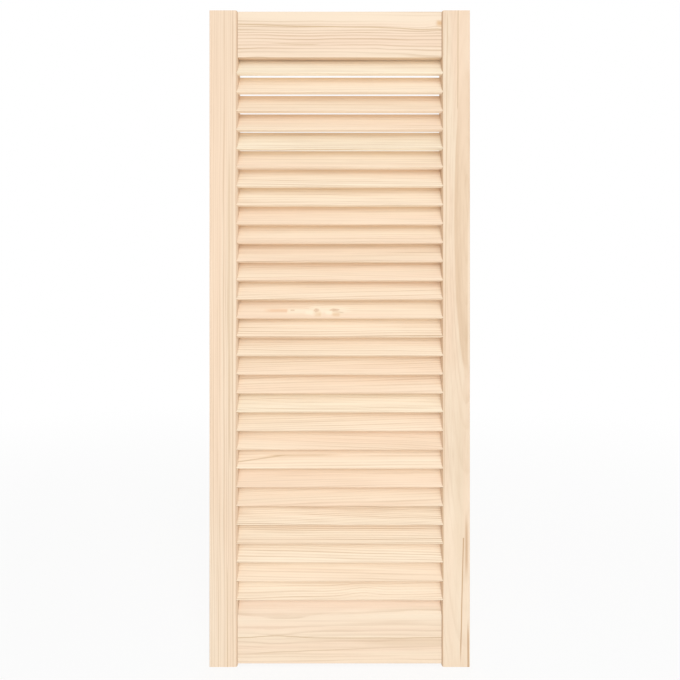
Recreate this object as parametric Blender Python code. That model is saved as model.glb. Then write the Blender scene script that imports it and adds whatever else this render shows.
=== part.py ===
"""Louvred cabinet door in raw pine.

Two stiles hold a row of fixed slats in raked housings. A rail at the top and one at the bottom are
bevelled at the rake of the slats, and each is joined to the stiles with hidden dowels.

Units are metres. The origin is at the middle of the door's foot, +Z is up and the front faces -Y.
"""

import math

import bmesh
import bpy
from mathutils import Matrix, Vector

# The whole door
DOOR_WIDTH = 0.394
DOOR_HEIGHT = 0.993
DOOR_THICKNESS = 0.021

# Stiles: plain boards with a soft round on the edges next to the slats
STILE_WIDTH = 0.042
STILE_INNER_ROUND = 0.003
STILE_OUTER_ROUND = 0.0008

# Rails: thinner than the stiles and set in the middle of their thickness
RAIL_THICKNESS = 0.016
TOP_RAIL_FACE = 0.0697
TOP_RAIL_UNDERCUT = math.radians(15)
BOTTOM_RAIL_FACE = 0.0735
BOTTOM_RAIL_LIFT = 0.0035
BOTTOM_RAIL_LIP = 0.001
RAIL_ARRIS = 0.0004

# Slats: flat bars with eased long edges, low at the front and high at the back
SLAT_THICKNESS = 0.005
SLAT_TILT = math.radians(63.5)
SLAT_PITCH = 0.02849
SLAT_SETBACK = 0.00065
SLAT_NOSE_ROUND = 0.0012
FIRST_SLAT_DROP = 0.0265
LAST_SLAT_CLEAR = 0.020
HOUSING_DEPTH = 0.009

# Dowels: distances are from a rail's outer edge to the middle of the dowel
DOWEL_DIAMETER = 0.008
DOWEL_LENGTH = 0.050
DOWEL_CHAMFER = 0.0008
DOWEL_END_ROOM = 0.001
TOP_DOWEL_PLACES = {"outer": 0.014, "inner": 0.036}
BOTTOM_DOWEL_PLACES = {"outer": 0.018, "inner": 0.054}

# Room left between two pieces that fit together
FIT_CLEARANCE = 0.0003

# Corners that turn by more than this are shaded sharp
SHARP_ANGLE = math.radians(30)

# Facets of the round edges and dowels
STILE_ROUND_SEGMENTS = 4
SLAT_ROUND_SEGMENTS = 4
ARRIS_SEGMENTS = 2
DOWEL_SIDES = 20

# Colours as red, green and blue from 0 to 255, as they look on a screen
STILE_PINE = (246, 222, 190)
RAIL_PINE = (244, 221, 191)
SLAT_PINE = (250, 226, 196)
DOWEL_BEECH = (222, 188, 150)
WOOD_ROUGHNESS = 0.62

# Sizes that follow from the ones above
OPENING_WIDTH = DOOR_WIDTH - 2 * STILE_WIDTH
STILE_MIDDLE = (DOOR_WIDTH - STILE_WIDTH) / 2
RAIL_LENGTH = OPENING_WIDTH - 2 * FIT_CLEARANCE
BOTTOM_RAIL_RISE = (RAIL_THICKNESS - BOTTOM_RAIL_LIP) * math.tan(SLAT_TILT)
TOP_RAIL_EDGE = DOOR_HEIGHT - TOP_RAIL_FACE
BOTTOM_RAIL_EDGE = BOTTOM_RAIL_LIFT + BOTTOM_RAIL_FACE
SLAT_LENGTH = OPENING_WIDTH + 2 * (HOUSING_DEPTH - FIT_CLEARANCE)
SLAT_CORE_THICKNESS = SLAT_THICKNESS - 2 * SLAT_NOSE_ROUND
SLAT_ROUND_TO_ROUND = DOOR_THICKNESS - 2 * (SLAT_SETBACK + SLAT_NOSE_ROUND)
SLAT_CORE_DEPTH = SLAT_ROUND_TO_ROUND - SLAT_CORE_THICKNESS * math.sin(SLAT_TILT)
SLAT_CORE_WIDTH = SLAT_CORE_DEPTH / math.cos(SLAT_TILT)
SLAT_WIDTH = SLAT_CORE_WIDTH + 2 * SLAT_NOSE_ROUND
SLAT_CORE_RISE = SLAT_CORE_WIDTH * math.sin(SLAT_TILT) + SLAT_CORE_THICKNESS * math.cos(SLAT_TILT)
SLAT_MIDDLE_ABOVE_NOSE = SLAT_CORE_RISE / 2 + SLAT_NOSE_ROUND
LOUVRE_HEIGHT = TOP_RAIL_EDGE - BOTTOM_RAIL_EDGE
SLAT_COUNT = 1 + int((LOUVRE_HEIGHT - FIRST_SLAT_DROP - LAST_SLAT_CLEAR) / SLAT_PITCH)
FIRST_SLAT_MIDDLE = TOP_RAIL_EDGE - FIRST_SLAT_DROP + SLAT_MIDDLE_ABOVE_NOSE
SLAT_MIDDLES = [FIRST_SLAT_MIDDLE - place * SLAT_PITCH for place in range(SLAT_COUNT)]
SIDES = {"left": -1, "right": 1}


def linear(channel):
    """Turn a screen colour channel from 0 to 255 into a linear one from 0 to 1."""
    share = channel / 255
    if share <= 0.04045:
        return share / 12.92
    return ((share + 0.055) / 1.055) ** 2.4


def wood(name, colour):
    """Make a plain bare-wood material."""
    material = bpy.data.materials.new(name)
    material.use_nodes = True
    shader = material.node_tree.nodes["Principled BSDF"]
    shader.inputs["Base Color"].default_value = [linear(channel) for channel in colour] + [1]
    shader.inputs["Roughness"].default_value = WOOD_ROUGHNESS
    shader.inputs["Metallic"].default_value = 0
    return material


def finish_mesh(bm, name, material=None):
    """Store a bmesh as a mesh with outward faces, smooth over its round edges."""
    bmesh.ops.recalc_face_normals(bm, faces=bm.faces)
    mesh = bpy.data.meshes.new(name)
    bm.to_mesh(mesh)
    bm.free()
    if material is not None:
        mesh.materials.append(material)
    mesh.shade_smooth()
    mesh.set_sharp_from_angle(angle=SHARP_ANGLE)
    return mesh


def place(mesh, name, collection, parent, location=(0, 0, 0), tilt=0):
    """Put a mesh in the door as a named piece."""
    piece = bpy.data.objects.new(name, mesh)
    piece.location = location
    piece.rotation_euler.x = tilt
    piece.parent = parent
    collection.objects.link(piece)
    return piece


def runs_along(edge, axis):
    """Tell whether an edge runs mainly along an axis."""
    start, end = edge.verts
    reach = [abs(distance) for distance in end.co - start.co]
    return reach[axis] == max(reach)


def round_edges(bm, edges, radius, segments):
    """Round the given edges."""
    bmesh.ops.bevel(
        bm, geom=edges, offset=radius, offset_type="OFFSET", segments=segments, profile=0.5, affect="EDGES")


def add_box(bm, length, depth, height, middle):
    """Add a box, given its size along X, Y and Z and its middle."""
    size = Matrix.Diagonal((length, depth, height, 1))
    return bmesh.ops.create_cube(bm, size=1, matrix=Matrix.Translation(middle) @ size)["verts"]


def stile_mesh(side, name, material):
    """A board whose edges next to the slats are rounded more than the outer ones."""
    bm = bmesh.new()
    add_box(bm, STILE_WIDTH, DOOR_THICKNESS, DOOR_HEIGHT, Vector((0, 0, DOOR_HEIGHT / 2)))
    upright = [edge for edge in bm.edges if runs_along(edge, 2)]
    inner = [edge for edge in upright if edge.verts[0].co.x * side < 0]
    outer = [edge for edge in upright if edge.verts[0].co.x * side > 0]
    round_edges(bm, inner, STILE_INNER_ROUND, STILE_ROUND_SEGMENTS)
    round_edges(bm, outer, STILE_OUTER_ROUND, ARRIS_SEGMENTS)
    return finish_mesh(bm, name, material)


def above(slope):
    """The direction square to a plane that rises towards the back of the door, on its upper side."""
    return Vector((0, -math.sin(slope), math.cos(slope)))


def rail_mesh(low, high, cuts, name, material):
    """A board sawn from a blank between two heights.

    Each cut is given as a point of its plane, the slope of the plane and whether the wood above it stays.
    """
    bm = bmesh.new()
    middle = Vector((0, 0, (low + high) / 2))
    add_box(bm, RAIL_LENGTH, RAIL_THICKNESS, high - low, middle)
    for point, slope, keep_above in cuts:
        cut = bmesh.ops.bisect_plane(
            bm, geom=bm.verts[:] + bm.edges[:] + bm.faces[:], plane_co=point, plane_no=above(slope),
            clear_inner=keep_above, clear_outer=not keep_above)
        rim = [item for item in cut["geom_cut"] if isinstance(item, bmesh.types.BMEdge)]
        bmesh.ops.edgenet_fill(bm, edges=rim)
    long_edges = [edge for edge in bm.edges if runs_along(edge, 0)]
    round_edges(bm, long_edges, RAIL_ARRIS, ARRIS_SEGMENTS)
    return finish_mesh(bm, name, material)


def top_rail_mesh(material):
    """The top rail is undercut at the front; behind, it is raked to lie against the first slat."""
    front_foot = Vector((0, -RAIL_THICKNESS / 2, TOP_RAIL_EDGE))
    first_slat = Vector((0, 0, FIRST_SLAT_MIDDLE))
    slat_face = first_slat + above(SLAT_TILT) * (SLAT_THICKNESS / 2 + FIT_CLEARANCE)
    cuts = [(front_foot, TOP_RAIL_UNDERCUT, True), (slat_face, SLAT_TILT, True)]
    return rail_mesh(TOP_RAIL_EDGE - RAIL_THICKNESS, DOOR_HEIGHT, cuts, "top_rail", material)


def bottom_rail_mesh(material):
    """The bottom rail slopes up at the rake from its front face to a narrow lip at its back."""
    bevel_foot = Vector((0, -RAIL_THICKNESS / 2, BOTTOM_RAIL_EDGE))
    highest = BOTTOM_RAIL_EDGE + BOTTOM_RAIL_RISE
    cuts = [(bevel_foot, SLAT_TILT, False)]
    return rail_mesh(BOTTOM_RAIL_LIFT, highest, cuts, "bottom_rail", material)


def add_slat_bar(bm, length, grow, matrix):
    """Add a bar with eased long edges, as wide as a slat and larger by a margin all round."""
    bar = bmesh.new()
    add_box(bar, length, SLAT_WIDTH + 2 * grow, SLAT_THICKNESS + 2 * grow, Vector())
    long_edges = [edge for edge in bar.edges if runs_along(edge, 0)]
    round_edges(bar, long_edges, SLAT_NOSE_ROUND + grow, SLAT_ROUND_SEGMENTS)
    bar.transform(matrix)
    loose = bpy.data.meshes.new("slat_bar")
    bar.to_mesh(loose)
    bar.free()
    bm.from_mesh(loose)
    bpy.data.meshes.remove(loose)


def add_dowel_bar(bm, length, radius, middle):
    """Add a round bar along X and return the edges of its two ends."""
    lie_along_x = Matrix.Rotation(math.pi / 2, 4, "Y")
    bar = bmesh.ops.create_cone(
        bm, cap_ends=True, segments=DOWEL_SIDES, radius1=radius, radius2=radius, depth=length,
        matrix=Matrix.Translation(middle) @ lie_along_x)
    edges = {edge for vert in bar["verts"] for edge in vert.link_edges}
    return [edge for edge in edges if not runs_along(edge, 0)]


def slat_mesh(material):
    """One slat, lying flat; every slat of the door shares it."""
    bm = bmesh.new()
    add_slat_bar(bm, SLAT_LENGTH, 0, Matrix())
    return finish_mesh(bm, "louvre_slat", material)


def dowel_mesh(material):
    """One dowel with chamfered ends; every joint of the frame shares it."""
    bm = bmesh.new()
    ends = add_dowel_bar(bm, DOWEL_LENGTH, DOWEL_DIAMETER / 2, Vector())
    round_edges(bm, ends, DOWEL_CHAMFER, 1)
    return finish_mesh(bm, "dowel", material)


def dowel_heights():
    """The height of every dowel, by rail and place."""
    heights = {}
    for spot, distance in TOP_DOWEL_PLACES.items():
        heights["top", spot] = DOOR_HEIGHT - distance
    for spot, distance in BOTTOM_DOWEL_PLACES.items():
        heights["bottom", spot] = BOTTOM_RAIL_LIFT + distance
    return heights


def add_dowel_holes(bm, rail=None):
    """Add the bars that bore the dowel holes, of one rail or of both, on both sides of the door."""
    radius = DOWEL_DIAMETER / 2 + FIT_CLEARANCE
    length = DOWEL_LENGTH + 2 * DOWEL_END_ROOM
    for (dowel_rail, _), height in dowel_heights().items():
        for side in SIDES.values():
            if rail in (None, dowel_rail):
                add_dowel_bar(bm, length, radius, Vector((side * OPENING_WIDTH / 2, 0, height)))


def add_housings(bm):
    """Add the bars that cut the slat housings in both stiles."""
    length = OPENING_WIDTH + 2 * HOUSING_DEPTH
    rake = Matrix.Rotation(SLAT_TILT, 4, "X")
    for height in SLAT_MIDDLES:
        add_slat_bar(bm, length, FIT_CLEARANCE, Matrix.Translation((0, 0, height)) @ rake)


def cut_away(piece, cutter):
    """Cut a piece with a hidden cutter."""
    cut = piece.modifiers.new("cut_" + cutter.name, "BOOLEAN")
    cut.operation = "DIFFERENCE"
    cut.solver = "EXACT"
    cut.object = cutter


def make_cutter(bm, name, collection, parent):
    """Store a bmesh as a hidden cutter."""
    cutter = place(finish_mesh(bm, name), name, collection, parent)
    cutter.hide_render = True
    cutter.display_type = "WIRE"
    return cutter


def make_collection(name):
    """Make a collection in the scene."""
    collection = bpy.data.collections.new(name)
    bpy.context.scene.collection.children.link(collection)
    return collection


def build_frame(door, cutters, origin):
    """Make the stiles and rails, with the slat housings and the dowel holes cut in them."""
    bm = bmesh.new()
    add_housings(bm)
    add_dowel_holes(bm)
    stile_cutter = make_cutter(bm, "stile_cuts", cutters, origin)
    stile_wood = wood("stile_pine", STILE_PINE)
    for side_name, side in SIDES.items():
        name = side_name + "_stile"
        stile = place(stile_mesh(side, name, stile_wood), name, door, origin, (side * STILE_MIDDLE, 0, 0))
        cut_away(stile, stile_cutter)

    rail_wood = wood("rail_pine", RAIL_PINE)
    for rail, mesh in (("top", top_rail_mesh(rail_wood)), ("bottom", bottom_rail_mesh(rail_wood))):
        bm = bmesh.new()
        add_dowel_holes(bm, rail)
        cutter = make_cutter(bm, rail + "_rail_holes", cutters, origin)
        cut_away(place(mesh, rail + "_rail", door, origin), cutter)


def build_dowels(door, origin):
    """Put two dowels in each joint of a rail with a stile."""
    mesh = dowel_mesh(wood("dowel_beech", DOWEL_BEECH))
    for (rail, spot), height in dowel_heights().items():
        for side_name, side in SIDES.items():
            name = f"dowel_{rail}_{side_name}_{spot}"
            place(mesh, name, door, origin, (side * OPENING_WIDTH / 2, 0, height))


def build_slats(door, origin):
    """Seat the slats in their housings, numbered from the top."""
    mesh = slat_mesh(wood("slat_pine", SLAT_PINE))
    for number, height in enumerate(SLAT_MIDDLES, start=1):
        place(mesh, f"louvre_slat_{number:02d}", door, origin, (0, 0, height), SLAT_TILT)


def main():
    """Clear the scene and build the door."""
    for leftover in list(bpy.data.objects):
        bpy.data.objects.remove(leftover)
    door = make_collection("louvred_cabinet_door")
    cutters = make_collection("louvred_cabinet_door_cutters")
    origin = bpy.data.objects.new("door_origin", None)
    door.objects.link(origin)
    build_frame(door, cutters, origin)
    build_dowels(door, origin)
    build_slats(door, origin)


main()
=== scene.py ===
import math
import random

import bmesh
import bpy
from mathutils import Matrix, Vector


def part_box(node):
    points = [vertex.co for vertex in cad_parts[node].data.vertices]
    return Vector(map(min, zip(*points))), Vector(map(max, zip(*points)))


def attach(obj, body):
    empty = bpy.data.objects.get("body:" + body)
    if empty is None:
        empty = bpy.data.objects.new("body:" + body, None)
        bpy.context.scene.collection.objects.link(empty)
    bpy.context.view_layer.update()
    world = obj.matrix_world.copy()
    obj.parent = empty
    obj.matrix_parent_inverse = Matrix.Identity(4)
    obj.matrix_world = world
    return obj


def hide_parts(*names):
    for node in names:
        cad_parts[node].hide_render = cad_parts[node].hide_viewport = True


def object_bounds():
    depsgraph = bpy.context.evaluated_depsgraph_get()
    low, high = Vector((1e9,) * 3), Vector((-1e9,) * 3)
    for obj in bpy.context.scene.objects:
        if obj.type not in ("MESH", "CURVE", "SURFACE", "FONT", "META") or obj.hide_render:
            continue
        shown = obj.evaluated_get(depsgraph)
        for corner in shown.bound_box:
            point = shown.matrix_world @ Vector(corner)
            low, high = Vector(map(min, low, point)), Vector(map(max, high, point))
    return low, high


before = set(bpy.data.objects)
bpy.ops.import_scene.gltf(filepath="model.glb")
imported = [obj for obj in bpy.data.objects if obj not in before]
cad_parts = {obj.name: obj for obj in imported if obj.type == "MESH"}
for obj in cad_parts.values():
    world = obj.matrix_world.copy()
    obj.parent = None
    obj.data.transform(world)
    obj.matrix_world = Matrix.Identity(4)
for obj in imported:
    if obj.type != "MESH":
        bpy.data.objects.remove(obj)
cad_box = [list(corner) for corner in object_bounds()]


# Stiles
# The two upright boards at the sides, sawn from pine, planed and left bare. Their inner edges are rounded
# over, and a raked housing for the end of every slat is cut in the inner side.

STILE_INNER_ROUND = 0.003
STILE_OUTER_ROUND = 0.0008
STILE_END_EASE = 0.0004
SLAT_TILT = math.radians(63.5)
SLAT_WIDTH = 0.03596
SLAT_THICKNESS = 0.005
SLAT_NOSE_ROUND = 0.0012
FIT_CLEARANCE = 0.0003
DOWEL_END_ROOM = 0.001
SLATS = sorted(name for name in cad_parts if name.startswith("louvre_slat"))
DOWELS = sorted(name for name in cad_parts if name.startswith("dowel"))

# The axes along which boards run, and how nearly an edge or the normal of a face lies along one to count
X_AXIS, Z_AXIS = 0, 2
NEARLY_ALONG = 0.999
FACES_THE_END = 0.9

# Flat steps in a rounded edge and round a drilled hole, and the angle from which an edge is a sharp one
EASE_STEPS = 2
ARRIS_STEPS = 4
ROUND_STEPS = 8
HOLE_STEPS = 32
SHARP_ANGLE = math.radians(30)


def middle_of(node):
    """The middle of a solid of the frame."""
    low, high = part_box(node)
    return (low + high) / 2


def block(low, high):
    """Start a board as a plain block between two corners."""
    bm = bmesh.new()
    size = Matrix.Diagonal((*(high - low), 1))
    bmesh.ops.create_cube(bm, size=1, matrix=Matrix.Translation((low + high) / 2) @ size)
    return bm


def edges_along(bm, axis):
    """The edges that run along an axis."""
    runs = {edge: (edge.verts[1].co - edge.verts[0].co).normalized() for edge in bm.edges}
    return [edge for edge, run in runs.items() if abs(run[axis]) > NEARLY_ALONG]


def end_edges(bm, axis):
    """The edges round the two sawn ends of a board that runs along an axis."""
    bm.normal_update()
    return list({edge for face in bm.faces if abs(face.normal[axis]) > NEARLY_ALONG for edge in face.edges})


def ease(bm, edges, radius, steps):
    """Round some edges over."""
    bmesh.ops.bevel(
        bm, geom=edges, offset=radius, offset_type="OFFSET", segments=steps, profile=0.5,
        affect="EDGES", material=-1)


def add_slat_bar(bm, length, grow, steps, place):
    """Add a bar with rounded long edges, as thick and wide as a slat and larger by a margin."""
    half = Vector((length / 2, SLAT_WIDTH / 2 + grow, SLAT_THICKNESS / 2 + grow))
    bar = block(-half, half)
    ease(bar, edges_along(bar, X_AXIS), SLAT_NOSE_ROUND + grow, steps)
    bar.transform(place)
    loose = bpy.data.meshes.new("slat_bar")
    bar.to_mesh(loose)
    bar.free()
    bm.from_mesh(loose)
    bpy.data.meshes.remove(loose)


def add_dowel_hole(bm, dowel):
    """Add the round bar that bores the hole of one dowel."""
    low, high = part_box(dowel)
    lie_along_x = Matrix.Rotation(math.pi / 2, 4, "Y")
    radius = (high.z - low.z) / 2 + FIT_CLEARANCE
    bmesh.ops.create_cone(
        bm, cap_ends=True, segments=HOLE_STEPS, radius1=radius, radius2=radius,
        depth=high.x - low.x + 2 * DOWEL_END_ROOM, matrix=Matrix.Translation((low + high) / 2) @ lie_along_x)


def new_piece(bm, name):
    """Store a bmesh as a piece at the origin."""
    bmesh.ops.recalc_face_normals(bm, faces=bm.faces)
    mesh = bpy.data.meshes.new(name)
    bm.to_mesh(mesh)
    bm.free()
    piece = bpy.data.objects.new(name, mesh)
    bpy.context.scene.collection.objects.link(piece)
    return piece


def apply_modifiers(piece):
    """Make a piece's modifiers part of its mesh."""
    bpy.context.view_layer.update()
    finished = piece.evaluated_get(bpy.context.evaluated_depsgraph_get())
    mesh = bpy.data.meshes.new_from_object(finished)
    mesh.name = piece.name
    piece.modifiers.clear()
    piece.data = mesh


def cut_out(piece, bm):
    """Cut the shape in a bmesh out of a piece."""
    cutter = new_piece(bm, piece.name + "_cutter")
    cut = piece.modifiers.new("cut", "BOOLEAN")
    cut.operation = "DIFFERENCE"
    cut.solver = "EXACT"
    cut.object = cutter
    apply_modifiers(piece)
    bpy.data.objects.remove(cutter)


def finish_board(piece, grain, material, node):
    """Smooth the round edges, mark the sawn ends and set the piece in the frame."""
    piece.data.shade_smooth()
    piece.data.set_sharp_from_angle(angle=SHARP_ANGLE)
    flats = piece.modifiers.new("flats", "WEIGHTED_NORMAL")
    flats.keep_sharp = True
    apply_modifiers(piece)
    ends = piece.data.attributes.new("end_grain", "FLOAT", "FACE")
    for face in piece.data.polygons:
        ends.data[face.index].value = float(abs(face.normal[grain]) > FACES_THE_END)
    piece.data.materials.clear()
    piece.data.materials.append(material)
    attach(piece, "root")
    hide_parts(node)


def screen(red, green, blue):
    """A colour as it looks on a screen, from 0 to 255, as linear light by the usual curve of screens."""
    shares = [channel / 255 for channel in (red, green, blue)]
    return (*[((share + 0.055) / 1.055) ** 2.4 for share in shares], 1)


def feed(tree, socket, value):
    """Link an output to a socket, or write the socket's own value."""
    if isinstance(value, bpy.types.NodeSocket):
        tree.links.new(value, socket)
    else:
        socket.default_value = value


def calc(tree, operation, *values):
    """Work out one number from others."""
    node = tree.nodes.new("ShaderNodeMath")
    node.operation = operation
    for socket, value in zip(node.inputs, values):
        feed(tree, socket, value)
    return node.outputs[0]


def reckon(tree, operation, output, *values):
    """Work out one vector or its length from others."""
    node = tree.nodes.new("ShaderNodeVectorMath")
    node.operation = operation
    for socket, value in zip(node.inputs, values):
        feed(tree, socket, value)
    return node.outputs[output]


def rise(tree, value, start, end):
    """Go softly from 0 to 1 as a value goes from a start to an end."""
    node = tree.nodes.new("ShaderNodeMapRange")
    node.interpolation_type = "SMOOTHSTEP"
    for name, number in (("Value", value), ("From Min", start), ("From Max", end)):
        feed(tree, node.inputs[name], number)
    return node.outputs["Result"]


def fall(tree, value, start, end):
    """Go softly from 1 to 0 as a value goes from a start to an end."""
    return calc(tree, "SUBTRACT", 1, rise(tree, value, start, end))


def mottle(tree, log, stretch, detail=2):
    """Noise drawn out along the grain; stretch gives its features per metre along and across it."""
    along, across = stretch
    noise = tree.nodes.new("ShaderNodeTexNoise")
    feed(tree, noise.inputs["Vector"], reckon(tree, "MULTIPLY", "Vector", log, (along, across, across)))
    noise.inputs["Scale"].default_value = 1
    noise.inputs["Detail"].default_value = detail
    return noise.outputs["Fac"]


def swing(tree, log, stretch, detail=2):
    """The same noise about nought, a half to each side."""
    return calc(tree, "SUBTRACT", mottle(tree, log, stretch, detail), 0.5)


# Where a mix node has its share, its two colours and the mixed colour among its sockets
MIX_SHARE, MIX_FIRST, MIX_SECOND = 0, 6, 7
MIXED = 2


def blend(tree, share, first, second):
    """Mix two colours."""
    node = tree.nodes.new("ShaderNodeMix")
    node.data_type = "RGBA"
    for index, value in ((MIX_SHARE, share), (MIX_FIRST, first), (MIX_SECOND, second)):
        feed(tree, node.inputs[index], value)
    return node.outputs[MIXED]


def new_group(name, inputs, outputs):
    """Start a shader node group and return its tree, its inputs and its output node."""
    tree = bpy.data.node_groups.new(name, "ShaderNodeTree")
    for socket_name, kind in inputs:
        tree.interface.new_socket(socket_name, in_out="INPUT", socket_type="NodeSocket" + kind)
    for socket_name, kind in outputs:
        tree.interface.new_socket(socket_name, in_out="OUTPUT", socket_type="NodeSocket" + kind)
    return tree, tree.nodes.new("NodeGroupInput").outputs, tree.nodes.new("NodeGroupOutput")


# The patterns in pine, as features per metre along the grain and across it
SLOW_SWAY = (2.2, 16)
QUICK_SWAY = (8, 45)
LINE_FADING = (5, 70)
FIBRES = (9, 420)
FIBRE_DETAIL = 4
SOFT_BANDS = (3.5, 150)
BLUSH_DRIFT = (1.8, 34)

# How often the width of the rings changes in a metre, by how many years a ring can be late, the part of a
# year in which the dark wood grows, how faint the faintest line is, and where in the noise the lines fade and
# the blush sets in
RING_CHANGES = 60
RING_DELAY = 2.5
LATE_START, LATE_END = 0.4, 0.9
FAINTEST_LINE = 0.4
FADING_SPAN = (0.3, 0.6)
BLUSH_SPAN = (0.35, 0.65)

# How much fibres, bands, sawn ends and the rim of the heart darken the wood, how soft the edge of the heart
# is and how wide its rim
FIBRE_SHADE = 0.6
BAND_SHADE, BAND_LEVEL = 0.5, 0.4
END_SHADE = 0.45
HEART_EDGE = 0.0008
HEART_RIM, RIM_SHADE = 0.012, 0.4

# The roughness of planed pine, what sawn ends and fibres add to it, and the relief of the fibres
PLANED_ROUGHNESS = 0.6
END_ROUGHNESS = 0.15
FIBRE_ROUGHNESS = 0.25
FIBRE_HEIGHT = 0.8


def make_pine_grain():
    """Year rings round the pith of a log, as the faces of a board lay them open.

    Log is a place in the log, with X along the trunk and the pith at Y and Z of nought, and Bend is how far
    a knot pushes the rings aside. Each year starts pale and ends in a thin dark line. A few of the lines are
    strong, most are faint, and they fade here and there. The wood within the Heart Radius is heartwood, and
    End is 1 on a sawn end.
    """
    tree, given, result = new_group(
        "pine_grain",
        (("Log", "Vector"), ("Bend", "Float"), ("Ring Width", "Float"), ("Wander", "Float"),
         ("Wave", "Float"), ("Line", "Float"), ("Heart Radius", "Float"), ("Sapwood", "Color"),
         ("Blush", "Color"), ("Latewood", "Color"), ("Heartwood", "Color"), ("End", "Float")),
        (("Color", "Color"), ("Roughness", "Float"), ("Height", "Float"), ("Sway", "Float")))
    log = given["Log"]

    # The noise goes only a half to each side, so the sway is doubled
    wander = calc(tree, "MULTIPLY", swing(tree, log, SLOW_SWAY), given["Wander"])
    sway = calc(tree, "MULTIPLY_ADD", swing(tree, log, QUICK_SWAY), given["Wave"], wander)
    sway = calc(tree, "MULTIPLY_ADD", sway, 2, given["Bend"])
    from_pith = reckon(tree, "LENGTH", "Value", reckon(tree, "MULTIPLY", "Vector", log, (0, 1, 1)))
    radius = calc(tree, "ADD", sway, from_pith)
    feed(tree, result.inputs["Sway"], sway)

    uneven = tree.nodes.new("ShaderNodeTexNoise")
    uneven.noise_dimensions = "1D"
    feed(tree, uneven.inputs["W"], calc(tree, "MULTIPLY", radius, RING_CHANGES))
    uneven.inputs["Scale"].default_value = 1
    years = calc(tree, "DIVIDE", radius, given["Ring Width"])
    age = calc(tree, "MULTIPLY_ADD", uneven.outputs["Fac"], RING_DELAY, years)
    season = calc(tree, "FRACT", age)
    year = tree.nodes.new("ShaderNodeTexWhiteNoise")
    year.noise_dimensions = "1D"
    feed(tree, year.inputs["W"], calc(tree, "FLOOR", age))
    rarely_strong = calc(tree, "POWER", year.outputs["Value"], 2)
    dark = calc(tree, "MULTIPLY_ADD", rarely_strong, 1 - FAINTEST_LINE, FAINTEST_LINE)
    late = calc(
        tree, "MULTIPLY", rise(tree, season, LATE_START, LATE_END), fall(tree, season, LATE_END, 1))
    kept = rise(tree, mottle(tree, log, LINE_FADING), *FADING_SPAN)
    fade = calc(tree, "MULTIPLY_ADD", kept, 1 - FAINTEST_LINE, FAINTEST_LINE)

    fibre = swing(tree, log, FIBRES, FIBRE_DETAIL)
    strength = calc(tree, "MULTIPLY", calc(tree, "MULTIPLY", dark, fade), given["Line"])
    line = calc(tree, "MULTIPLY", late, strength)
    bands = calc(tree, "SUBTRACT", mottle(tree, log, SOFT_BANDS), BAND_LEVEL)
    banded = calc(tree, "MULTIPLY_ADD", bands, BAND_SHADE, line)
    streaky = calc(tree, "MULTIPLY_ADD", fibre, FIBRE_SHADE, banded)
    ends = calc(tree, "MULTIPLY_ADD", given["End"], END_SHADE, streaky)

    drift = rise(tree, mottle(tree, log, BLUSH_DRIFT), *BLUSH_SPAN)
    inside = calc(tree, "SUBTRACT", given["Heart Radius"], radius)
    heart = rise(tree, inside, -HEART_EDGE, HEART_EDGE)
    pale = blend(tree, drift, given["Sapwood"], given["Blush"])
    tinted = blend(tree, heart, pale, given["Heartwood"])
    rim = calc(tree, "MULTIPLY", heart, fall(tree, inside, 0, HEART_RIM))
    share = tree.nodes.new("ShaderNodeClamp")
    feed(tree, share.inputs["Value"], calc(tree, "MULTIPLY_ADD", rim, RIM_SHADE, ends))
    feed(tree, result.inputs["Color"], blend(tree, share.outputs[0], tinted, given["Latewood"]))

    dry = calc(tree, "MULTIPLY_ADD", given["End"], END_ROUGHNESS, PLANED_ROUGHNESS)
    feed(tree, result.inputs["Roughness"], calc(tree, "MULTIPLY_ADD", fibre, FIBRE_ROUGHNESS, dry))
    feed(tree, result.inputs["Height"], calc(tree, "MULTIPLY_ADD", fibre, FIBRE_HEIGHT, line))
    return tree


# The share of a streak's half width that has its full colour
STREAK_CORE = 0.1


def make_pine_streak():
    """A streak along the grain, darker or paler than the wood beside it. Some streaks carry painted shade and
    painted light.

    Place goes from -1 to 1 along the streak and across it, and Start and Finish say how softly it ends.
    """
    tree, given, result = new_group(
        "pine_streak", (("Place", "Vector"), ("Start", "Float"), ("Finish", "Float")), (("Mask", "Float"),))
    place = tree.nodes.new("ShaderNodeSeparateXYZ")
    feed(tree, place.inputs[0], given["Place"])
    begun = rise(tree, place.outputs["X"], -1, calc(tree, "SUBTRACT", given["Start"], 1))
    going_on = fall(tree, place.outputs["X"], calc(tree, "SUBTRACT", 1, given["Finish"]), 1)
    across = fall(tree, calc(tree, "ABSOLUTE", place.outputs["Y"]), STREAK_CORE, 1)
    feed(tree, result.inputs["Mask"], calc(tree, "MULTIPLY", begun, calc(tree, "MULTIPLY", going_on, across)))
    return tree


# The lumps of a knot's rim, its rings and how dark they are, how far out the stub and the pale cushion reach,
# as shares of the knot's half size, and how fast its push on the year rings falls off
KNOT_LUMPS, KNOT_RAGGED = (1.5, 1.5), 0.9
KNOT_RINGS, KNOT_RING_SHADE = 14, 0.25
STUB_SPAN = (0.3, 1.0)
CUSHION_SPAN = (0.8, 3.0)
PUSH_FALL = -0.25


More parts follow.
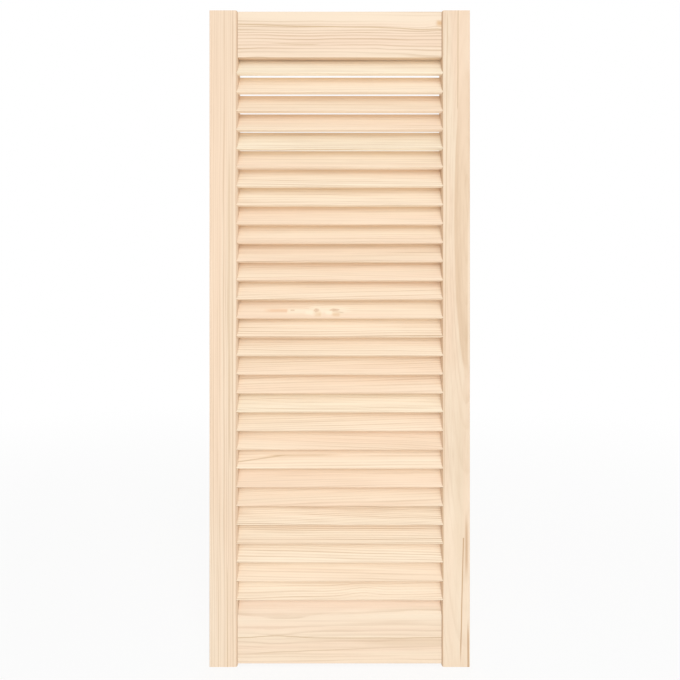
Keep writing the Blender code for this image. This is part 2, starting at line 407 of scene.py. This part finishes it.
def make_pine_knot():
    """The stub of a small branch in a pale cushion of wood, which pushes the year rings aside.

    Place is nought in the middle of the knot and has a length of 1 at its rim.
    """
    tree, given, result = new_group(
        "pine_knot", (("Place", "Vector"),), (("Stub", "Float"), ("Cushion", "Float"), ("Push", "Float")))
    flat = reckon(tree, "MULTIPLY", "Vector", given["Place"], (1, 1, 0))
    from_middle = reckon(tree, "LENGTH", "Value", flat)
    reach = calc(tree, "MULTIPLY_ADD", swing(tree, flat, KNOT_LUMPS), KNOT_RAGGED, from_middle)
    waves = calc(tree, "SINE", calc(tree, "MULTIPLY", reach, KNOT_RINGS))
    rings = calc(tree, "MULTIPLY_ADD", waves, KNOT_RING_SHADE, 1 - KNOT_RING_SHADE)
    feed(tree, result.inputs["Stub"], calc(tree, "MULTIPLY", fall(tree, reach, *STUB_SPAN), rings))
    feed(tree, result.inputs["Cushion"], fall(tree, reach, *CUSHION_SPAN))
    spread = calc(tree, "MULTIPLY", calc(tree, "MULTIPLY", reach, reach), PUSH_FALL)
    feed(tree, result.inputs["Push"], calc(tree, "EXPONENT", spread))
    return tree


def lay_in_log(tilt, grain, dive=0):
    """How a board lies in its log: the tilt of its face from flat, the turn of the grain on the face,
    and how far the grain dives into it."""
    return Matrix.Rotation(dive, 3, "Y") @ Matrix.Rotation(-grain, 3, "Z") @ Matrix.Rotation(-tilt, 3, "X")


PINE_GRAIN = make_pine_grain()
PINE_STREAK = make_pine_streak()
PINE_KNOT = make_pine_knot()
LATEWOOD = screen(204, 174, 141)
HEARTWOOD = screen(227, 202, 174)
KNOT_STUB = screen(188, 140, 96)
KNOT_CUSHION = screen(246, 231, 207)
NO_HEART = -1
PINE_SPECULAR = 0.3
PINE_RELIEF = 0.00025
PINE_RELIEF_STRENGTH = 0.35


def use_group(tree, group, values):
    """Put a node group in a material and return its outputs."""
    node = tree.nodes.new("ShaderNodeGroup")
    node.node_tree = group
    for socket, value in values.items():
        feed(tree, node.inputs[socket], value)
    return node.outputs


def mark_place(tree, log, middle, half_size, turn=0):
    """Coordinates that are nought in the middle of a mark and 1 at its rim."""
    place = tree.nodes.new("ShaderNodeMapping")
    place.vector_type = "TEXTURE"
    feed(tree, place.inputs["Vector"], log)
    place.inputs["Location"].default_value = middle
    place.inputs["Rotation"].default_value = (0, 0, turn)
    place.inputs["Scale"].default_value = (*half_size, 1)
    return place.outputs[0]


def pine(name, turn, point, log_point, rings, tint, heart_radius=NO_HEART, knots=(), streaks=()):
    """Bare planed pine.

    One point of the board is given, and where that point lies in the log. Rings are their width, their
    wander, their wave and the strength of their lines, and a tint is the pale wood and the blush on it.
    A knot is its place on the face from that point, along and across the grain, its half size, how far it
    pushes the rings and how dark it is. With no darkness it lies under the face and only bends the rings.
    A streak is its place, half size, turn, the softness of its two ends, colour and strength.
    """
    material = bpy.data.materials.new(name)
    material.use_nodes = True
    tree = material.node_tree
    shader = tree.nodes["Principled BSDF"]
    shader.inputs["Specular IOR Level"].default_value = PINE_SPECULAR

    place = tree.nodes.new("ShaderNodeMapping")
    feed(tree, place.inputs["Vector"], tree.nodes.new("ShaderNodeTexCoord").outputs["Object"])
    place.inputs["Rotation"].default_value = turn.to_euler()
    place.inputs["Location"].default_value = Vector(log_point) - turn @ Vector(point)
    log = place.outputs[0]

    bend = 0
    stubs = []
    for spot, half_size, push, darkness in knots:
        middle = Vector(log_point) + Vector((*spot, 0))
        knot = use_group(tree, PINE_KNOT, {"Place": mark_place(tree, log, middle, half_size)})
        bend = calc(tree, "MULTIPLY_ADD", knot["Push"], push, bend)
        stubs.append((knot, darkness))

    ring_width, wander, wave, line = rings
    ends = tree.nodes.new("ShaderNodeAttribute")
    ends.attribute_name = "end_grain"
    grain = use_group(tree, PINE_GRAIN, {
        "Log": log, "Bend": bend, "Ring Width": ring_width, "Wander": wander, "Wave": wave, "Line": line,
        "Heart Radius": heart_radius, "Sapwood": tint[0], "Blush": tint[1], "Latewood": LATEWOOD,
        "Heartwood": HEARTWOOD, "End": ends.outputs["Fac"]})
    colour = grain["Color"]

    shift = tree.nodes.new("ShaderNodeCombineXYZ")
    feed(tree, shift.inputs["Y"], grain["Sway"])
    swayed = reckon(tree, "ADD", "Vector", log, shift.outputs[0])
    for spot, half_size, lean, (begin, finish), streak_colour, strength in streaks:
        middle = Vector(log_point) + Vector((*spot, 0))
        streak_place = mark_place(tree, swayed, middle, half_size, lean)
        streak = use_group(tree, PINE_STREAK, {"Place": streak_place, "Start": begin, "Finish": finish})
        colour = blend(tree, calc(tree, "MULTIPLY", streak["Mask"], strength), colour, streak_colour)
    for knot, darkness in stubs:
        colour = blend(tree, calc(tree, "MULTIPLY", knot["Cushion"], darkness), colour, KNOT_CUSHION)
        colour = blend(tree, calc(tree, "MULTIPLY", knot["Stub"], darkness), colour, KNOT_STUB)

    bump = tree.nodes.new("ShaderNodeBump")
    bump.inputs["Strength"].default_value = PINE_RELIEF_STRENGTH
    bump.inputs["Distance"].default_value = PINE_RELIEF
    feed(tree, bump.inputs["Height"], grain["Height"])
    feed(tree, shader.inputs["Base Color"], colour)
    feed(tree, shader.inputs["Roughness"], grain["Roughness"])
    feed(tree, shader.inputs["Normal"], bump.outputs["Normal"])
    return material


UPRIGHT = math.radians(90)
RIGHT_STILE_DIVE = math.radians(4.75)
RIGHT_STILE_HEART = 0.0185
STILE_TINT = (screen(238, 218, 194), screen(237, 212, 186))
RIGHT_STILE_TINT = (screen(234, 214, 189), screen(233, 208, 182))
# A paler colour for the lower part of the stiles, partly their own tone and partly painted light
FOOT_TONE_AND_PAINTED_LIGHT = screen(255, 238, 214)
# Brown for dark streaks in the wood, and for the painted shade down the stiles' inner edges
STREAK_AND_PAINTED_SHADE_BROWN = screen(196, 158, 120)
LINE_BROWN = screen(206, 178, 142)
# The stiles' pine: grain and streaks, with painted shade down each inner edge and partly painted light at the
# foot
STILE_PINE = {
    "left": pine(
        "stile_pine_left", lay_in_log(UPRIGHT, UPRIGHT), point=(-0.176, -0.0105, 0.5),
        log_point=(0, 0.13, 0.02), rings=(0.0036, 0.004, 0.0008, 1.1), tint=STILE_TINT,
        streaks=[
            ((0.30, -0.0040), (0.30, 0.0600), 0, (0.9, 0.02), STILE_TINT[1], 0.4),
            ((0.45, -0.0145), (0.06, 0.0012), 0, (0.2, 0.8), STREAK_AND_PAINTED_SHADE_BROWN, 0.4),
            # Paler towards the foot: partly the wood's tone, partly painted light
            ((-0.40, 0.0), (0.14, 0.0800), 0, (0.02, 0.9), FOOT_TONE_AND_PAINTED_LIGHT, 0.22),
            ((-0.15, -0.0002), (0.40, 0.0019), 0, (0.1, 0.3), STILE_TINT[0], 0.7),
            ((0.10, -0.0120), (0.24, 0.0080), 0, (0.4, 0.4), LINE_BROWN, 0.2),
            ((0.04, -0.0095), (0.25, 0.0011), 0, (0.2, 0.3), LINE_BROWN, 0.6),
            ((-0.42, -0.0058), (0.09, 0.0011), 0, (0.02, 0.4), LINE_BROWN, 0.8),
            ((-0.42, 0.0080), (0.10, 0.0009), 0, (0.02, 0.4), LINE_BROWN, 0.5),
            ((-0.16, -0.0147), (0.36, 0.0009), 0, (0.2, 0.5), LINE_BROWN, 0.6),
            # Painted shade: a dark line the full height of the rounded inner edge, where the joint with the
            # rails and slats lies in shade
            ((0, -0.0200), (0.51, 0.0012), 0, (0.02, 0.02), STREAK_AND_PAINTED_SHADE_BROWN, 0.45)]),
    "right": pine(
        "stile_pine_right", lay_in_log(UPRIGHT, UPRIGHT, RIGHT_STILE_DIVE), point=(0.1923, -0.0105, 0.68),
        log_point=(0, 0, 0), rings=(0.0042, 0.0012, 0.0008, 0.28), tint=RIGHT_STILE_TINT,
        heart_radius=RIGHT_STILE_HEART,
        streaks=[
            ((0.27, 0.0), (0.16, 0.0300), 0, (0.9, 0.02), STILE_TINT[1], 0.6),
            ((0.150, 0.0050), (0.085, 0.0110), 0, (0.6, 0.5), STILE_TINT[1], 0.6),
            # Paler towards the foot: partly the wood's tone, partly painted light
            ((-0.53, 0.0120), (0.17, 0.0900), 0, (0.02, 0.6), FOOT_TONE_AND_PAINTED_LIGHT, 0.3),
            ((-0.0985, -0.0030), (0.14, 0.0024), 0, (0.2, 0.6), STILE_TINT[0], 0.8),
            ((0.245, 0.0136), (0.085, 0.0012), 0, (0.1, 0.3), LINE_BROWN, 0.9),
            ((-0.1325, 0.0325), (0.45, 0.0010), -0.0074, (0.1, 0.05), LINE_BROWN, 0.7),
            # Painted shade: a dark line the full height of the rounded inner edge, where the joint with the
            # rails and slats lies in shade
            ((-0.1835, 0.0365), (0.51, 0.0012), 0, (0.02, 0.02), STREAK_AND_PAINTED_SHADE_BROWN, 0.7),
            ((-0.413, 0.0106), (0.17, 0.0130), 0, (0.6, 0.6), LINE_BROWN, 0.2),
            ((-0.495, 0.0002), (0.06, 0.0036), 0, (0.7, 0.7), STREAK_AND_PAINTED_SHADE_BROWN, 0.65),
            ((-0.582, 0.0073), (0.10, 0.0014), -0.0274, (0.4, 0.02), STREAK_AND_PAINTED_SHADE_BROWN, 0.95),
            ((-0.645, -0.0018), (0.045, 0.0022), 0, (0.02, 0.8), STREAK_AND_PAINTED_SHADE_BROWN, 0.9)])}

for side_name, side in (("left", -1), ("right", 1)):
    node = side_name + "_stile"
    low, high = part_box(node)
    bm = block(low, high)
    upright = edges_along(bm, Z_AXIS)
    inner = [edge for edge in upright if edge.verts[0].co.x * side < (low.x + high.x) / 2 * side]
    outer = [edge for edge in upright if edge not in inner]
    ease(bm, inner, STILE_INNER_ROUND, ROUND_STEPS)
    ease(bm, outer, STILE_OUTER_ROUND, ARRIS_STEPS)
    ease(bm, end_edges(bm, Z_AXIS), STILE_END_EASE, EASE_STEPS)
    stile = new_piece(bm, "stile_board_" + side_name)

    cuts = bmesh.new()
    for slat in SLATS:
        slat_low, slat_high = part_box(slat)
        length = slat_high.x - slat_low.x + 2 * FIT_CLEARANCE
        place = Matrix.Translation((slat_low + slat_high) / 2) @ Matrix.Rotation(SLAT_TILT, 4, "X")
        add_slat_bar(cuts, length, FIT_CLEARANCE, ROUND_STEPS, place)
    for dowel in DOWELS:
        add_dowel_hole(cuts, dowel)
    cut_out(stile, cuts)
    finish_board(stile, Z_AXIS, STILE_PINE[side_name], node)


# Rails
# The two cross boards, thinner than the stiles and set in the middle of their edges on hidden dowels. The
# top one is undercut and the bottom one is sloped at the rake of the slats, so that the louvre runs on.

BOTTOM_RAIL_LIP = 0.001
TOP_RAIL_UNDERCUT = math.radians(15)
RAIL_ARRIS = 0.0004

TOP_RAIL_LEAN = math.radians(-0.6)
BOTTOM_RAIL_LEAN = math.radians(0.3)
RAIL_TINT = (screen(240, 221, 197), screen(238, 214, 190))
LOW_RAIL_TINT = (screen(244, 226, 202), screen(243, 219, 195))
KNOT_SHADE = screen(214, 170, 116)
RAIL_PINE = {
    "top": pine(
        "rail_pine_top", lay_in_log(UPRIGHT, TOP_RAIL_LEAN), point=(0, -0.008, 0.958),
        log_point=(0.3, 0.05, 0.03), rings=(0.0042, 0.005, 0.003, 1.2), tint=RAIL_TINT,
        knots=[((0.1505, 0.0170), (0.0090, 0.0062), -0.003, 0.0)],
        streaks=[
            ((0, 0.0275), (0.19, 0.0160), math.radians(-1.2), (0.02, 0.02), RAIL_TINT[0], 0.95),
            ((0, 0.0125), (0.17, 0.0014), math.radians(-1.2), (0.1, 0.1), LINE_BROWN, 0.9),
            ((-0.07, -0.0145), (0.045, 0.0012), math.radians(-1.0), (0.8, 0.4), LINE_BROWN, 0.8),
            ((0.1515, 0.0175), (0.008, 0.0070), 0, (0.9, 0.02), KNOT_SHADE, 0.7)]),
    "bottom": pine(
        "rail_pine_bottom", lay_in_log(UPRIGHT, BOTTOM_RAIL_LEAN), point=(0, -0.008, 0.04),
        log_point=(1.3, -0.04, 0.03), rings=(0.0055, 0.006, 0.003, 0.5), tint=LOW_RAIL_TINT,
        knots=[((-0.10, 0.004), (0.022, 0.0080), -0.004, 0.0)],
        streaks=[
            ((0.09, -0.003), (0.09, 0.009), 0, (1.0, 0.1), LINE_BROWN, 0.3),
            ((0, 0.004), (0.17, 0.0013), 0, (0.1, 0.1), LINE_BROWN, 0.8),
            ((-0.03, -0.017), (0.12, 0.0012), math.radians(1.5), (0.4, 0.8), LINE_BROWN, 0.6)])}


def profile_board(profile, start, end):
    """Draw out a board along X from its profile, given as depth and height."""
    bm = bmesh.new()
    end_face = bm.faces.new([bm.verts.new((start, *corner)) for corner in profile])
    drawn = bmesh.ops.extrude_face_region(bm, geom=[end_face])["geom"]
    far_side = [item for item in drawn if isinstance(item, bmesh.types.BMVert)]
    bmesh.ops.translate(bm, verts=far_side, vec=(end - start, 0, 0))
    return bm


def rail_profile(rail, low, high):
    """The section of a rail, from its front foot round to its back."""
    rake = math.tan(SLAT_TILT)
    if rail == "bottom":
        slope_foot = high.z - (high.y - BOTTOM_RAIL_LIP - low.y) * rake
        return [
            (low.y, low.z), (low.y, slope_foot), (high.y - BOTTOM_RAIL_LIP, high.z), (high.y, high.z),
            (high.y, low.z)]
    slat_room = (SLAT_THICKNESS / 2 + FIT_CLEARANCE) / math.sin(SLAT_TILT)
    slat_face = (low.z - middle_of(SLATS[0]).z) / rake - slat_room
    undercut = math.tan(TOP_RAIL_UNDERCUT)
    climb = (slat_face - low.y) * undercut / (1 - undercut / rake)
    meeting = slat_face + climb / rake
    slope_head = low.z + (high.y - slat_face) * rake
    return [
        (low.y, low.z), (low.y, high.z), (high.y, high.z), (high.y, slope_head), (meeting, low.z + climb)]


for rail in ("top", "bottom"):
    node = rail + "_rail"
    low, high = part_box(node)
    bm = profile_board(rail_profile(rail, low, high), low.x, high.x)
    ease(bm, edges_along(bm, X_AXIS), RAIL_ARRIS, ARRIS_STEPS)
    board = new_piece(bm, "rail_board_" + rail)

    cuts = bmesh.new()
    for dowel in DOWELS:
        if rail in dowel:
            add_dowel_hole(cuts, dowel)
    cut_out(board, cuts)
    finish_board(board, X_AXIS, RAIL_PINE[rail], node)


# Slats
# Thin pine bars with rounded long edges, glued into the housings of the stiles. Each is cut from another
# board, so grain and tint change from slat to slat, and each sits a hair differently in its housing.

SLAT_NOSE_STEPS = 10
MILLIMETRES = 1000
PEACH = (screen(243, 223, 197), screen(242, 217, 191))
CREAM = (screen(246, 228, 203), screen(245, 223, 197))
PINK = (screen(242, 221, 195), screen(241, 215, 188))
PALE = (screen(248, 234, 209), screen(247, 230, 204))
KNOT_BLUSH = screen(230, 190, 154)

# The tint of each slat, the width of its rings in millimetres, the strength of their lines, and the lean and
# the dive of the grain in degrees
SLAT_WOODS = (
    (PALE, 2.2, 0.70, -0.4, 0.0), (CREAM, 3.1, 0.35, 0.5, 0.0), (PINK, 3.4, 0.60, 0.4, 0.5),
    (PEACH, 2.9, 0.55, 0.8, 0.0), (PALE, 2.0, 1.40, 0.0, 0.0), (PEACH, 3.4, 0.55, -0.8, 1.0),
    (CREAM, 2.4, 0.75, -1.2, 0.0), (CREAM, 2.7, 0.80, -1.5, 1.5), (PEACH, 3.4, 0.45, 0.6, 0.0),
    (PEACH, 3.1, 0.65, 0.5, 0.0), (PEACH, 2.3, 1.25, 0.3, 0.0), (PEACH, 2.7, 0.70, 1.2, 0.0),
    (PEACH, 3.4, 0.60, 1.6, 0.5), (PEACH, 2.7, 0.50, 0.0, 0.0), (CREAM, 2.2, 1.20, 0.2, 0.0),
    (PEACH, 2.7, 0.75, -0.4, 0.0), (PINK, 3.3, 0.70, 1.2, 0.5), (PINK, 3.4, 0.65, 1.8, 0.0),
    (PALE, 1.8, 1.40, 0.3, 0.6), (PEACH, 2.9, 0.65, 1.6, 0.0), (PINK, 2.7, 0.50, -2.2, 0.0),
    (CREAM, 4.1, 0.60, 0.4, 0.0), (PEACH, 2.6, 0.50, 0.8, 0.6), (PINK, 2.6, 0.45, 2.2, 0.0),
    (CREAM, 2.2, 1.45, -1.6, 1.4), (CREAM, 2.2, 1.40, 0.2, 0.0), (CREAM, 2.9, 0.90, -1.6, 0.6),
    (CREAM, 2.9, 0.50, -1.2, 0.0), (CREAM, 3.1, 0.65, 0.8, 0.5))

# Knots and streaks by the number of the slat. The fourteenth has two knots with a blush on their left, pale
# wood beside them and a shade below, the last has a bend in its rings, and the twenty-second two dark lines
SLAT_KNOTS = {
    14: [
        ((-0.0355, -0.0048), (0.0062, 0.0046), 0.003, 0.6),
        ((-0.0080, -0.0042), (0.0110, 0.0034), 0.003, 0.6)],
    29: [((0.034, -0.005), (0.014, 0.006), -0.0035, 0.0)]}
SLAT_STREAKS = {
    14: [
        ((-0.099, -0.006), (0.021, 0.0046), 0, (0.9, 0.02), KNOT_BLUSH, 0.7),
        ((-0.064, -0.007), (0.017, 0.0065), 0, (0.1, 0.5), KNOT_CUSHION, 0.6),
        ((-0.0715, -0.0055), (0.004, 0.0022), 0, (0.2, 0.7), STREAK_AND_PAINTED_SHADE_BROWN, 0.5),
        ((-0.047, -0.008), (0.008, 0.0075), 0, (0.7, 0.5), KNOT_CUSHION, 0.9),
        ((-0.0165, -0.008), (0.007, 0.0075), 0, (0.7, 0.5), KNOT_CUSHION, 0.9),
        ((-0.0335, -0.0085), (0.0070, 0.0105), 0, (0.8, 0.6), KNOT_SHADE, 0.75),
        ((-0.0060, -0.0090), (0.0085, 0.0105), 0, (0.8, 0.6), KNOT_SHADE, 0.55),
        ((-0.0015, -0.0064), (0.0100, 0.0026), -0.30, (0.3, 0.6), STREAK_AND_PAINTED_SHADE_BROWN, 0.8)],
    22: [
        ((-0.12, -0.002), (0.045, 0.0016), math.radians(7), (0.1, 0.5), LINE_BROWN, 0.8),
        ((-0.05, 0.0022), (0.07, 0.0018), 0, (0.4, 0.9), LINE_BROWN, 0.7)]}

# What changes by chance from slat to slat: how far it rocks in its housing, in degrees, where in the log it
# lies, along the trunk and to two sides of the pith, and the wander and the wave of its rings
SLAT_ROCK = 0.2
SLAT_LOG_SPANS = ((0, 9), (0.03, 0.06), (0.01, 0.03))
SLAT_WANDER = (0.002, 0.004)
SLAT_WAVE = (0.0008, 0.002)
CHANCE_SEED = 29
draw = random.Random(CHANCE_SEED)

for number, node in enumerate(SLATS, start=1):
    low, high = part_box(node)
    middle = (low + high) / 2
    rock = math.radians(draw.uniform(-SLAT_ROCK, SLAT_ROCK))
    bm = bmesh.new()
    place = Matrix.Translation(middle) @ Matrix.Rotation(SLAT_TILT + rock, 4, "X")
    add_slat_bar(bm, high.x - low.x, 0, SLAT_NOSE_STEPS, place)
    slat = new_piece(bm, f"slat_board_{number:02d}")

    tint, ring_width, line, lean, dive = SLAT_WOODS[number - 1]
    from_pith = [draw.uniform(*span) for span in SLAT_LOG_SPANS]
    rings = (ring_width / MILLIMETRES, draw.uniform(*SLAT_WANDER), draw.uniform(*SLAT_WAVE), line)
    wood = pine(
        f"slat_pine_{number:02d}", lay_in_log(SLAT_TILT, math.radians(lean), math.radians(dive)),
        middle, from_pith, rings, tint,
        knots=SLAT_KNOTS.get(number, ()), streaks=SLAT_STREAKS.get(number, ()))
    finish_board(slat, X_AXIS, wood, node)


# Dowels
# Short beech pins, two in each joint of a rail with a stile. They are turned, chamfered at the ends and
# glued in blind holes, so they show only when the frame is taken apart.

BEECH_PALE = screen(228, 196, 160)
BEECH_DARK = screen(214, 178, 140)
BEECH_FLECK = screen(190, 148, 108)
FLECKS, FLECK_SPAN = (250, 1800), (0.58, 0.72)
FIGURE, FIGURE_DETAIL = (20, 600), 3
TURNED_ROUGHNESS, FIGURE_ROUGHNESS = 0.45, 0.2

beech = bpy.data.materials.new("dowel_beech_turned")
beech.use_nodes = True
tree = beech.node_tree
coordinates = tree.nodes.new("ShaderNodeTexCoord").outputs["Object"]
fleck = rise(tree, mottle(tree, coordinates, FLECKS), *FLECK_SPAN)
figure = mottle(tree, coordinates, FIGURE, FIGURE_DETAIL)
plain = blend(tree, figure, BEECH_PALE, BEECH_DARK)
shader = tree.nodes["Principled BSDF"]
feed(tree, shader.inputs["Base Color"], blend(tree, fleck, plain, BEECH_FLECK))
feed(
    tree, shader.inputs["Roughness"],
    calc(tree, "MULTIPLY_ADD", figure, FIGURE_ROUGHNESS, TURNED_ROUGHNESS))

for dowel in DOWELS:
    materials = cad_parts[dowel].data.materials
    materials.clear()
    materials.append(beech)


# Studio
# A pale floor that runs out into a white room, a large soft lamp above the camera on the right, a small weak
# one in front and a low one behind that shines through the louvre. The camera stands square to the door.

CAMERA_DISTANCE = 0.600
PICTURE_SPAN = 1.0278
PICTURE_MIDDLE = (0.00045, 0.4945)
SENSOR = 36
WHITE = (1, 1, 1, 1)
ROOM_LIGHT = 0.66

# The place of each lamp, its width and its power in watts
LAMP_AIM = Vector((0, 0, 0.5))
LAMPS = {
    "soft_key": ((1.4, -4.2, 4.0), 3, 62),
    "soft_fill": ((0, -1.15, 0.66), 1.0, 4.2),
    "soft_back": ((0.5, 3.6, 0.9), 3, 50)}

# The floor glows a little, more where the camera sees it, and most where it is far from the door
FLOOR_REACH = 6
FLOOR_PALE = (0.9, 0.9, 0.9, 1)
FLOOR_ROUGHNESS = 0.9
FLOOR_GLOW = 0.2
SEEN_GLOW = 0.62
FAR_GLOW = 0.18
FAR_SPAN = (0.4, 3)

scene = bpy.context.scene
scene.view_settings.view_transform = "Standard"


def seen_rays(tree):
    """1 for what the camera sees, straight or through a gloss or glass, and 0 for what gives light."""
    rays = tree.nodes.new("ShaderNodeLightPath").outputs
    mirrored = calc(tree, "MAXIMUM", rays["Is Glossy Ray"], rays["Is Transmission Ray"])
    return calc(tree, "MAXIMUM", rays["Is Camera Ray"], mirrored)


def mix_shaders(tree, share, first, second):
    """Mix two shaders."""
    node = tree.nodes.new("ShaderNodeMixShader")
    for socket, value in zip(node.inputs, (share, first, second)):
        feed(tree, socket, value)
    return node.outputs[0]


for name, (place, width, power) in LAMPS.items():
    data = bpy.data.lights.new(name, "AREA")
    data.size = width
    data.energy = power
    lamp = bpy.data.objects.new(name, data)
    lamp.location = place
    lamp.visible_camera = False
    lamp.rotation_euler = (LAMP_AIM - Vector(place)).to_track_quat("-Z", "Y").to_euler()
    scene.collection.objects.link(lamp)

room = bpy.data.worlds.new("white_room")
room.use_nodes = True
scene.world = room
tree = room.node_tree
giving = tree.nodes["Background"]
giving.inputs["Strength"].default_value = ROOM_LIGHT
giving.inputs["Color"].default_value = WHITE
seen = tree.nodes.new("ShaderNodeBackground")
seen.inputs["Color"].default_value = WHITE
either = mix_shaders(tree, seen_rays(tree), giving.outputs[0], seen.outputs[0])
feed(tree, tree.nodes["World Output"].inputs["Surface"], either)

paper = bpy.data.materials.new("floor_paper")
paper.use_nodes = True
tree = paper.node_tree
matt = tree.nodes["Principled BSDF"]
matt.inputs["Base Color"].default_value = FLOOR_PALE
matt.inputs["Roughness"].default_value = FLOOR_ROUGHNESS
glow = tree.nodes.new("ShaderNodeEmission")
glow.inputs["Color"].default_value = WHITE
from_door = reckon(tree, "LENGTH", "Value", tree.nodes.new("ShaderNodeTexCoord").outputs["Object"])
whiter = calc(tree, "MULTIPLY_ADD", rise(tree, from_door, *FAR_SPAN), FAR_GLOW, SEEN_GLOW)
lift = calc(tree, "MULTIPLY_ADD", seen_rays(tree), whiter, FLOOR_GLOW)
lifted = mix_shaders(tree, lift, matt.outputs[0], glow.outputs[0])
feed(tree, tree.nodes["Material Output"].inputs["Surface"], lifted)

bm = bmesh.new()
bmesh.ops.create_grid(bm, x_segments=1, y_segments=1, size=FLOOR_REACH)
floor = new_piece(bm, "studio_floor")
floor.data.materials.append(paper)

camera_data = bpy.data.cameras.new("camera")
camera_data.sensor_width = SENSOR
camera_data.lens = SENSOR * CAMERA_DISTANCE / PICTURE_SPAN
camera = bpy.data.objects.new("camera", camera_data)
camera.location = (PICTURE_MIDDLE[0], cad_box[0][1] - CAMERA_DISTANCE, PICTURE_MIDDLE[1])
camera.rotation_euler = (UPRIGHT, 0, 0)
scene.collection.objects.link(camera)
scene.camera = camera
